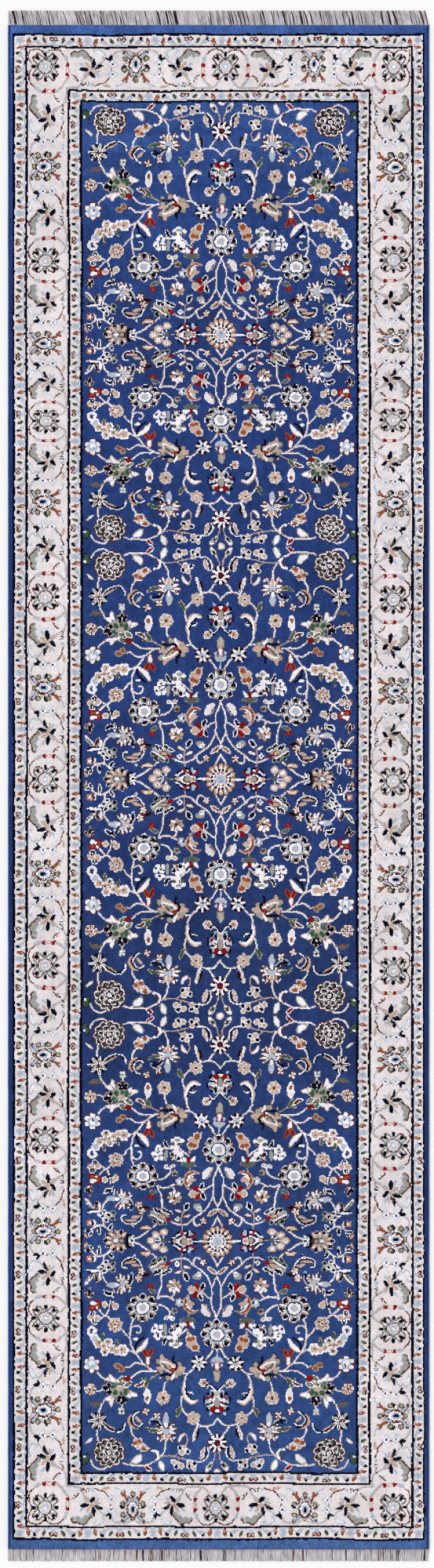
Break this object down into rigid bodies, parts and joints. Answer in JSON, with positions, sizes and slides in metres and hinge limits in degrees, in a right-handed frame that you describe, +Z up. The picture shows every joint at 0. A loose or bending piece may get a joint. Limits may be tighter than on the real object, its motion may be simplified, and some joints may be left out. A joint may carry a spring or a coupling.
{
  "type": "hand-knotted runner rug",
  "caption": "Long narrow hand-knotted runner rug with a patterned field, nested borders, overcast side selvedges and fringed ends.",
  "frame": {"origin": "middle of the rug's whole outline, fringes included, on the surface it lies on", "axes": "+X across the rug's width, +Y along its length, +Z up out of the pile"},
  "size_m": [0.813, 2.996, 0.011],
  "materials": {
    "pile_blue": "clipped wool pile, mid blue, soft sheen",
    "pile_navy": "clipped wool pile, dark navy",
    "pile_ivory": "clipped ivory silk and wool pile, soft lustre",
    "warp_cotton": "undyed cotton yarn, matt",
    "weft_cotton": "pale blue cotton yarn, matt",
    "selvedge_wool": "blue wool overcasting, matt",
    "end_cotton": "flat-woven cotton, matt",
    "fringe_cotton": "loose cotton warp ends, matt"
  },
  "bodies": {
    "root": {"wefts_under": "weft_cotton", "warps": "warp_cotton", "wefts_over": "weft_cotton", "field_pile": "pile_blue", "outer_band_pile": "pile_blue", "outer_line_pile": "pile_navy", "outer_guard_pile": "pile_ivory", "border_outer_line_pile": "pile_navy", "main_border_pile": "pile_ivory", "border_inner_line_pile": "pile_navy", "inner_guard_pile": "pile_ivory", "inner_line_pile": "pile_navy", "selvedge_cord_left": "warp_cotton", "selvedge_cord_right": "warp_cotton", "selvedge_wrap_left": "selvedge_wool", "selvedge_wrap_right": "selvedge_wool", "end_weave_far": "end_cotton", "end_weave_near": "end_cotton", "end_chain_far": "end_cotton", "end_chain_near": "end_cotton", "fringe_far": "fringe_cotton", "fringe_near": "fringe_cotton"}
  },
  "joints": []
}
